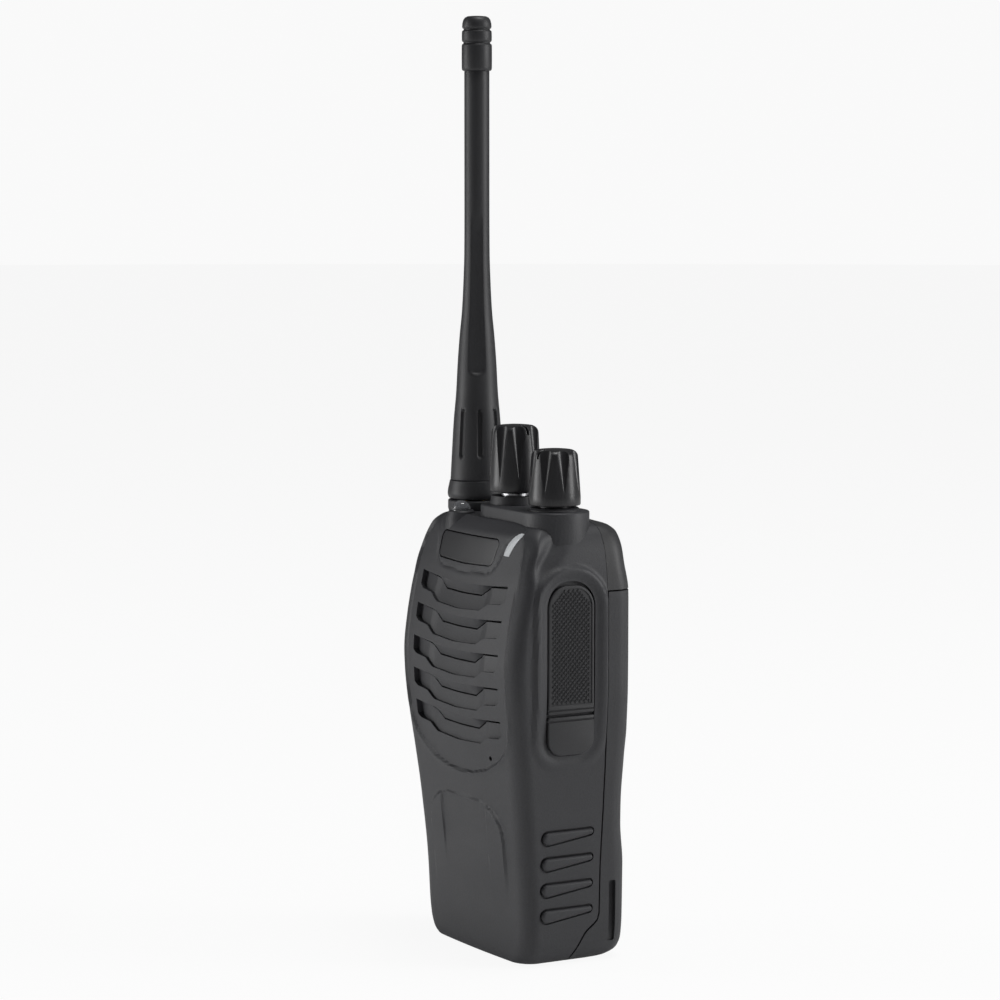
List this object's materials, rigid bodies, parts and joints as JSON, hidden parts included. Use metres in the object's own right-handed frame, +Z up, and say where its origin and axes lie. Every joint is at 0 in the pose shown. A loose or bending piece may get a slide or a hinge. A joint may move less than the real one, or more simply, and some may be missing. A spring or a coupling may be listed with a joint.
{
  "type": "two way radio",
  "caption": "Compact handheld two-way radio with stub antenna, channel and volume knobs, side talk button, jack cover and slide-off battery.",
  "frame": {"origin": "centre of the box's foot: the antenna socket end is up, the base stands on Z = 0", "axes": "+Z up along the antenna, +X to the accessory jack side, +Y to the battery at the back; the speaker faces -Y"},
  "size_m": [0.0614, 0.0372, 0.2397],
  "materials": {
    "case_plastic": "fine grained charcoal moulding",
    "battery_plastic": "fine grained charcoal moulding",
    "knob_plastic": "satin black moulding",
    "nameplate_film": "satin grey-black film",
    "cover_rubber": "matte moulded rubber",
    "key_rubber": "matte moulded rubber",
    "antenna_rubber": "matte moulded rubber",
    "mic_rubber": "soft rubber boot",
    "light_pipe": "frosted light guide",
    "lamp_lens": "clear epoxy dome",
    "felt": "black acoustic felt",
    "cone_paper": "coated paper cone",
    "basket_steel": "dark plated steel",
    "magnet_steel": "zinc plated steel",
    "circuit_board": "green solder mask",
    "shield_tin": "tin plated sheet",
    "chassis_metal": "black painted die casting",
    "screw_steel": "zinc plated",
    "switch_metal": "nickel plated",
    "nut_black": "black oxide",
    "jack_plastic": "black moulding",
    "gold_contact": "gold flash",
    "cell_foil": "pouch foil"
  },
  "bodies": {
    "radio": {"front_case": "case_plastic", "speaker_felt": "felt", "speaker_frame": "basket_steel", "speaker_cone": "cone_paper", "speaker_magnet": "magnet_steel", "microphone": "switch_metal", "mic_boot": "mic_rubber", "status_light_guide": "light_pipe", "torch_led": "lamp_lens", "nameplate": "nameplate_film", "main_pcb": "circuit_board", "rf_shield": "shield_tin", "chassis": "chassis_metal", "chassis_screws": "screw_steel", "antenna_socket": "gold_contact", "antenna_socket_nut": "gold_contact", "volume_pot": "switch_metal", "channel_switch": "switch_metal", "control_nuts": "nut_black", "jack_block": "jack_plastic", "jack_cover_anchor": "cover_rubber", "side_board": "circuit_board", "side_switches": "switch_metal", "power_contacts": "gold_contact"},
    "volume_control": {"volume_knob": "knob_plastic", "volume_shaft": "nut_black"},
    "channel_control": {"channel_knob": "knob_plastic", "channel_shaft": "nut_black"},
    "ptt": {"ptt_button": "key_rubber"},
    "monitor": {"monitor_key": "key_rubber"},
    "torch": {"torch_key": "key_rubber"},
    "cover": {"jack_cover": "cover_rubber"},
    "battery": {"battery_shell": "battery_plastic", "battery_lid": "battery_plastic", "battery_cell": "cell_foil", "battery_board": "circuit_board", "battery_terminals": "gold_contact", "charge_contacts": "gold_contact"},
    "latch": {"battery_latch": "battery_plastic"},
    "antenna_lifted": {"antenna_connector": "gold_contact"},
    "antenna": {"antenna_sheath": "antenna_rubber", "antenna_tip_cap": "antenna_rubber", "antenna_core": "gold_contact"}
  },
  "joints": [
    {"name": "volume_turn", "type": "hinge", "parent": "radio", "child": "volume_control", "pos_m": [0.019, 0.0006, 0.118], "axis": [0, 0, 1], "range_deg": [-300, 0]},
    {"name": "channel_turn", "type": "hinge", "parent": "radio", "child": "channel_control", "pos_m": [-0.0007, 0.0006, 0.118], "axis": [0, 0, 1], "range_deg": [-337.5, 0]},
    {"name": "ptt_press", "type": "slide", "parent": "radio", "child": "ptt", "axis": [1, 0, 0], "range_m": [0, 0.001], "stiffness_N_per_m": 1500, "springref_m": -0.0005},
    {"name": "monitor_press", "type": "slide", "parent": "radio", "child": "monitor", "axis": [1, 0, 0], "range_m": [0, 0.0003], "stiffness_N_per_m": 3000, "springref_m": -0.0003},
    {"name": "torch_press", "type": "slide", "parent": "radio", "child": "torch", "axis": [1, 0, 0], "range_m": [0, 0.0003], "stiffness_N_per_m": 3000, "springref_m": -0.0003},
    {"name": "cover_open", "type": "hinge", "parent": "radio", "child": "cover", "pos_m": [0.0306, -0.001, 0.0646], "axis": [0, 1, 0], "range_deg": [0, 120], "stiffness_Nm_per_rad": 0.0015, "springref_deg": -17.19},
    {"name": "battery_slide", "type": "slide", "parent": "radio", "child": "battery", "axis": [0, 0, -1], "range_m": [0, 0.015]},
    {"name": "latch_release", "type": "slide", "parent": "battery", "child": "latch", "axis": [0, 1, 0], "range_m": [0, 0.0025], "stiffness_N_per_m": 600, "springref_m": -0.001},
    {"name": "antenna_lift", "type": "slide", "parent": "radio", "child": "antenna_lifted", "axis": [0, 0, 1], "range_m": [0, 0.005]},
    {"name": "antenna_turn", "type": "hinge", "parent": "antenna_lifted", "child": "antenna", "pos_m": [-0.0204, 0.0006, 0.118], "axis": [0, 0, 1], "range_deg": [0, 2551.2]}
  ],
  "couplings": [
    {"joint": "antenna_turn", "follows": "antenna_lift", "rad_per_m": 8905.3}
  ]
}
